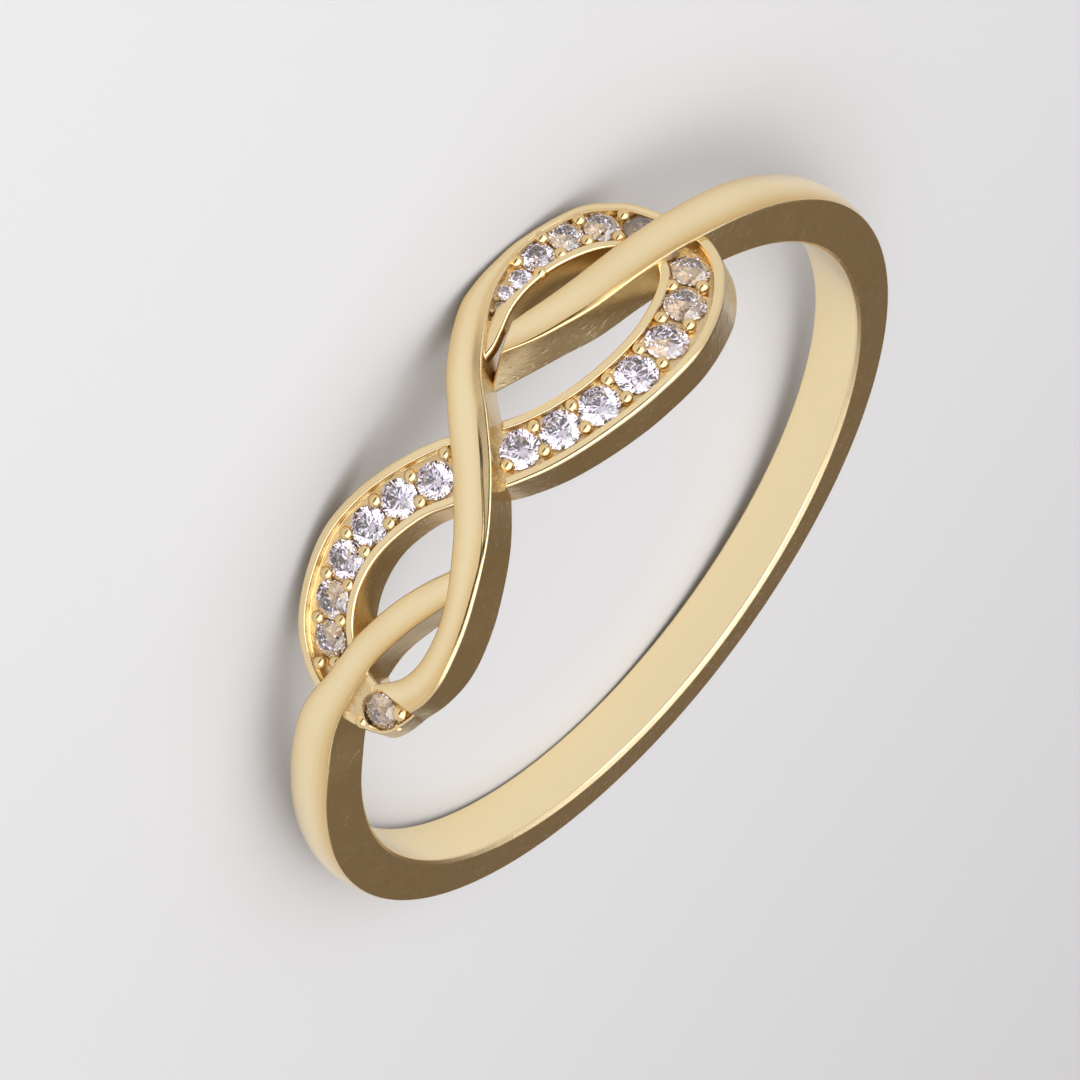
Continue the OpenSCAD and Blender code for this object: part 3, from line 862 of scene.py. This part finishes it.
class RING_OT_stone_strand(bpy.types.Operator):
    """Makes the stone strand of the head: a channel between two rims, with a seat drilled
    for each stone"""

    bl_idname = "ring.stone_strand"
    bl_label = "Stone strand"

    def execute(self, context):
        shape = context.scene.ring_shape
        rows = smooth(STONED, STONE_STEPS)
        rim_r = rim_radius(shape)
        width = strand_plan(rows)[2]
        share = np.interp(width, *RIM_SHARE)
        station = np.arange(len(rows)) / STONE_STEPS
        near_rim = FULL * share * np.interp(station, *RIM_AT_FOOT)
        near_rim = np.maximum(near_rim, np.interp(station, *RIM_AT_TAIL))
        far_rim = rows[:, 4] * share
        deep = np.interp(station, *CHANNEL_ENDS) * np.interp(station, *CHANNEL_BRIDGE)
        floor_r = rim_r - mm(shape.channel_depth) * deep
        foot = ease(np.interp(station, *STONE_FOOT))
        tail = ease(np.interp(station, *STONE_TAIL))
        base_r = BORE_R + STONE_CLEAR + mm(shape.foot_rise) * (foot + TAIL_RISE * tail)
        corners = stack_corners(
            (width / 2, base_r), (0, base_r), (0, rim_r), (near_rim, rim_r),
            (near_rim, floor_r), (width - far_rim, floor_r), (width - far_rim, rim_r),
            (width, rim_r), (width, base_r))
        radii = (0.3, 0.03, 0.09, 0.03, 0.03, 0.03, 0.03, 0.09, 0.03)
        profile = rounded(corners, radii, 4)
        across = np.linspace(0, 1, 30)[1:-1]
        start, end = profile[:, 4, -1], profile[:, 5, 0]
        floor = start[:, None] + (end - start)[:, None] * across[None, :, None]
        floor = self.drilled(rows, floor, rim_r, rim_r - mm(shape.girdle_drop))
        before = profile[:, :5].reshape(len(rows), -1, 2)
        after = profile[:, 5:].reshape(len(rows), -1, 2)
        profile = np.concatenate([before, floor, after], axis=1)
        profile, low = self.notched(rows, profile, rim_r)
        points, faces = tube(strand_rings(rows, profile, rim_r))
        # It carries make_piece's even painted highlight of 0.7
        piece = make_piece("stone_strand", points, faces, ["casting"])
        first = before.shape[1]
        column = np.arange(len(faces[0])) % profile.shape[1]
        inside = (column >= first - 2) & (column < first + floor.shape[1] + 1)
        lead = (len(faces[0]) // profile.shape[1] - len(rows) + 1) // 2
        low = np.pad(low, ((lead, lead), (0, 0)), mode="edge")[:-1]
        index = np.concatenate([inside | low.ravel(), np.zeros(len(faces[1]), bool)]) * 2
        gild(piece, index)
        piece.data.materials.append(material("Channel gold", channel_gold))
        return {"FINISHED"}

    def notched(self, rows, profile, rim_r):
        """The rims end a little before the plain strand's upper edge: within the notch's
        width of that edge the radius is held down, and a short bevel leads up to the rims.
        The second result marks the floor of the notch."""
        edge = smooth(PLAIN, PLAIN_STEPS)[:, 2:4]
        edge = edge[(edge[:, 0] > NOTCH_FROM) & (edge[:, 0] < NOTCH_TO)]
        e0, e1, width = strand_plan(rows)
        plan = e0[:, None] + (e1 - e0)[:, None] * (profile[..., :1] / width[:, None, None])
        away = np.linalg.norm(plan[:, :, None] - edge, axis=-1).min(axis=-1)
        low = rim_r - NOTCH_DEPTH * np.clip((NOTCH - away) / NOTCH_BEVEL, 0, 1)
        profile = profile.copy()
        rough = (away < NOTCH - NOTCH_BEVEL) & (profile[..., 1] >= low - 0.001)
        profile[..., 1] = np.minimum(profile[..., 1], low)
        return profile, rough

    def drilled(self, rows, floor, rim_r, girdle_r):
        """The channel's floor with a cone under each stone: the floor's radius is the lower of
        its own and the cone's, which rises from the stone's point to its girdle."""
        place = strand_rings(rows, floor, rim_r)
        size, middle, out, along = stone_axes(girdle_r)
        gap = place[..., None, :] - middle
        across = np.hypot(np.einsum("...k,...k->...", gap, along), gap[..., 2])
        share = across / (size / 2 + SEAT_ROOM)
        seat = girdle_r - (PAVILION * size + SEAT_DEPTH) * (1 - share)
        seat = np.where(share < 1, seat, np.inf).min(axis=-1)
        floor = floor.copy()
        floor[..., 1] = np.minimum(floor[..., 1], seat)
        return floor


def bead_places(shape):
    """Beads stand on both sides of the middle between two neighbouring stones."""
    places = [np.array(LAST_BEADS)]
    for row in (RIGHT_ROW, NEAR_ROW, FAR_ROW[:FAR_BEADED]):
        at = np.array(row)[:, :2]
        way = np.diff(at, axis=0)
        way /= np.linalg.norm(way, axis=1, keepdims=True)
        middle = (at[1:] + at[:-1]) / 2
        side = columns(-way[:, 1], way[:, 0]) * mm(shape.bead_reach)
        places += [columns(*at.T, 1) for at in (middle + side, middle - side)]
    return np.vstack(places)


class RING_OT_beads(bpy.types.Operator):
    """Makes the beads that hold the stones"""

    bl_idname = "ring.beads"
    bl_label = "Beads"

    def execute(self, context):
        """Each bead is a ball: radius times (sin v cos u, sin v sin u, cos v)."""
        shape = context.scene.ring_shape
        places = bead_places(shape)
        bead_r = rim_radius(shape) - mm(shape.bead_drop)
        angle = np.arcsin(places[:, 0] / bead_r)
        middle = on_ring(angle, places[:, 1], bead_r)
        nu, nv = 24, 12
        u = np.arange(nu) * 2 * math.pi / nu
        v = np.linspace(0, math.pi, nv + 1)[1:-1, None]
        ball = columns(np.sin(v) * np.cos(u), np.sin(v) * np.sin(u), np.cos(v)).reshape(-1, 3)
        ball = np.vstack([ball, (0, 0, 1), (0, 0, -1)]) * mm(shape.bead_radius)
        i, j = np.meshgrid(np.arange(nv - 2) * nu, np.arange(nu), indexing="ij")
        k = (j + 1) % nu
        quads = columns(i + j, i + nu + j, i + nu + k, i + k).reshape(-1, 4)
        j = np.arange(nu)
        k = (j + 1) % nu
        last = (nv - 2) * nu
        poles = np.vstack([columns(len(ball) - 2, j, k),
                           columns(len(ball) - 1, last + k, last + j)])
        shift = np.arange(len(middle))[:, None, None] * len(ball)
        points = (middle[:, None] + ball[None] * places[:, 2, None, None]).reshape(-1, 3)
        faces = [(quads[None] + shift).reshape(-1, 4), (poles[None] + shift).reshape(-1, 3)]
        # The beads carry a low, even painted highlight, so their colour is deeper all over as
        # painted shade
        piece = make_piece("beads", points, faces, ["casting"], pale=0.4)
        piece.data.materials.append(material("Polished gold", polished_gold))
        return {"FINISHED"}


def ring_of(count, radius, height, turn=0.0):
    """Points on a circle, turned by a share of their step."""
    angle = (np.arange(count) + turn) * 2 * math.pi / count
    return columns(radius * np.cos(angle), radius * np.sin(angle), height)


def brilliant(d):
    """A round brilliant of 57 facets about its own Z axis. The star and lower points lie in
    the planes of the main facets: their height follows from the line from table or culet to
    girdle, taken at the point's radius times the cosine of 22.5 degrees."""
    cosine = math.cos(math.pi / 8)
    g = GIRDLE * d / 2
    girdle = 0.5 * d
    table = TABLE_R * d
    star_h = g + CROWN * d * (girdle - STAR_R * d * cosine) / (girdle - table)
    lower_h = -g - PAVILION * d * (1 - LOWER_R * d * cosine / girdle)
    points = np.vstack([
        ring_of(8, table, g + CROWN * d), ring_of(8, STAR_R * d, star_h, 0.5),
        ring_of(16, girdle, g), ring_of(16, girdle, -g),
        ring_of(8, LOWER_R * d, lower_h, 0.5), [(0, 0, -g - PAVILION * d)]])
    i = np.arange(8)
    n = (i + 1) % 8
    p = (i - 1) % 8
    e = np.arange(16)
    f = (e + 1) % 16
    star, top, low, deep, point = 8, 16, 32, 48, 56
    triangles = np.vstack([
        columns(i, star + i, n),
        columns(star + i, top + 2 * i, top + 2 * i + 1),
        columns(star + i, top + 2 * i + 1, top + (2 * i + 2) % 16),
        columns(deep + i, low + 2 * i + 1, low + 2 * i),
        columns(deep + i, low + (2 * i + 2) % 16, low + 2 * i + 1)])
    kites = np.vstack([
        columns(i, star + p, top + 2 * i, star + i),
        columns(point, deep + i, low + 2 * i, deep + p),
        columns(top + e, low + e, low + f, top + f)])
    return points, [i[None, :], kites, triangles]


class RING_OT_stones(bpy.types.Operator):
    """Makes the round brilliants, one piece a stone"""

    bl_idname = "ring.stones"
    bl_label = "Stones"

    def execute(self, context):
        shape = context.scene.ring_shape
        clear = material("Clear stone", clear_stone)
        back = material("Stone back", stone_back)
        girdle_r = rim_radius(shape) - mm(shape.girdle_drop)
        sizes, middles, outs, alongs = stone_axes(girdle_r)
        for k, name in enumerate(STONES):
            points, faces = brilliant(sizes[k])
            turn = STONE_TURN * k
            spun = points @ np.array([[math.cos(turn), math.sin(turn), 0],
                                      [-math.sin(turn), math.cos(turn), 0], [0, 0, 1]])
            axes = np.stack([alongs[k], np.cross(outs[k], alongs[k]), outs[k]])
            piece = make_piece(f"cut_{name}", middles[k] + spun @ axes, faces,
                               [name], flat=True)
            piece.data.materials.append(clear)
            piece.data.materials.append(back)
            piece.data.polygons.foreach_set("material_index", BACK_FACETS)
        return {"FINISHED"}


# Where the lights stand, in metres, and their width and depth
FRONT_LIGHT = ((0, -0.08, 0.09), (0.32, 0.125))
TOP_LIGHT = ((0, -0.02, 1.2), (2.6, 2.6))

# The camera in the ring's own frame, in millimetres
CAMERA_AT = (2.82, -107.88, 45.16)
CAMERA_RIGHT = (-0.60275, 0.30509, 0.73728)
CAMERA_DOWN = (0.79770, 0.25082, 0.54839)
CAMERA_WAY = (-0.01762, 0.91868, -0.39458)


class RING_OT_stage(bpy.types.Operator):
    """Makes the pale floor, the room, the soft lights and the camera"""

    bl_idname = "ring.stage"
    bl_label = "Stage"

    def execute(self, context):
        studio = context.scene.ring_studio
        self.make_floor(studio)
        self.make_room(context.scene, studio)
        self.make_light("Front light", *FRONT_LIGHT, studio.front_power)
        self.make_light("Top light", *TOP_LIGHT, studio.top_power)
        self.make_camera(context.scene, studio)
        context.scene.view_settings.view_transform = "Standard"
        context.scene.cycles.max_bounces = 16
        context.scene.cycles.glossy_bounces = 8
        context.scene.cycles.transmission_bounces = 16
        return {"FINISHED"}

    def make_floor(self, studio):
        """A plain square floor under the ring, four metres wide."""
        half = 2.0
        mesh = bpy.data.meshes.new("floor")
        mesh.from_pydata([(-half, -half, 0), (half, -half, 0), (half, half, 0), (-half, half, 0)],
                         [], [(0, 1, 2, 3)])
        floor = new_object("floor", mesh)
        paper = bpy.data.materials.new("Floor")
        Nodes(paper).surface({"Base Color": (*studio.floor_colour, 1.0), "Roughness": 0.8,
                              "Specular IOR Level": 0.1})
        mesh.materials.append(paper)

    def make_room(self, scene, studio):
        """Dusk in front and the room behind, with paler sides and ceiling."""
        world = bpy.data.worlds.new("Room")
        nodes = Nodes(world)
        way = nodes.add("ShaderNodeTexCoord", output="Generated")
        aside, back, up = (nodes.add("ShaderNodeSeparateXYZ", None, {"Vector": way}, output=axis)
                           for axis in "XYZ")
        behind = nodes.step(back, -0.5, 0.5)
        beside = nodes.step(aside * aside, 0.3, 0.55)
        above = nodes.step(up, 0.6, 0.85)
        tone = nodes.mix(behind, (*studio.dusk_colour, 1.0), (*studio.room_colour, 1.0))
        tone = nodes.mix(beside, tone, (*studio.side_colour, 1.0))
        tone = nodes.mix(above, tone, (*studio.ceiling_colour, 1.0))
        glow = nodes.add("ShaderNodeBackground", None,
                         {"Color": tone, "Strength": studio.room_strength})
        nodes.add("ShaderNodeOutputWorld", None, {"Surface": glow})
        scene.world = world

    def make_light(self, name, place, size, power):
        """A rectangle of light that faces the ring."""
        lamp = bpy.data.lights.new(name, "AREA")
        lamp.shape = "RECTANGLE"
        lamp.size, lamp.size_y = size
        lamp.energy = power
        light = new_object(name, lamp)
        light.location = place
        way = np.array(place) / np.linalg.norm(place)
        light.rotation_euler = (math.acos(way[2]), 0, math.atan2(way[1], way[0]) + math.pi / 2)

    def make_camera(self, scene, studio):
        """The photograph's viewing angle: the camera's axes and place are turned and lifted
        with the ring."""
        lens = bpy.data.cameras.new("Camera")
        lens.lens = studio.lens
        lens.sensor_width = 36
        lens.clip_start = 0.005
        lens.clip_end = 10
        camera = new_object("Camera", lens)
        turn = TURN @ np.array([CAMERA_RIGHT, -np.array(CAMERA_DOWN), -np.array(CAMERA_WAY)]).T
        place = (TURN @ np.array(CAMERA_AT) + (0, 0, LIFT)) / 1000
        matrix = np.eye(4)
        matrix[:3, :3] = turn
        matrix[:3, 3] = place
        camera.matrix_world = matrix.T
        scene.camera = camera


class RING_PT_panel(bpy.types.Panel):
    """Lists the ring's sizes, finishes and parts"""

    bl_idname = "RING_PT_panel"
    bl_label = "Infinity Ring"
    bl_space_type = "VIEW_3D"
    bl_region_type = "UI"
    bl_category = "Ring"

    def draw(self, context):
        for name in GROUPS:
            group = getattr(context.scene, name)
            box = self.layout.box()
            for key in group.bl_rna.properties.keys()[2:]:
                box.prop(group, key)
        for step in STEPS:
            self.layout.operator(step)


GROUPS = {"ring_shape": RingShape, "ring_finish": RingFinish, "ring_studio": RingStudio}
CLASSES = (*GROUPS.values(), RING_OT_band, RING_OT_plain_strand, RING_OT_stone_strand,
           RING_OT_beads, RING_OT_stones, RING_OT_stage, RING_PT_panel)
STEPS = ("ring.band", "ring.plain_strand", "ring.stone_strand", "ring.beads", "ring.stones",
         "ring.stage")


def register():
    for cls in CLASSES:
        bpy.utils.register_class(cls)
    for name, group in GROUPS.items():
        setattr(bpy.types.Scene, name, bpy.props.PointerProperty(type=group))


def unregister():
    for name in GROUPS:
        delattr(bpy.types.Scene, name)
    for cls in reversed(CLASSES):
        bpy.utils.unregister_class(cls)


def main():
    register()
    bpy.ops.ring.band()
    bpy.ops.ring.plain_strand()
    bpy.ops.ring.stone_strand()
    bpy.ops.ring.beads()
    bpy.ops.ring.stones()
    bpy.ops.ring.stage()


if __name__ == "__main__":
    main()
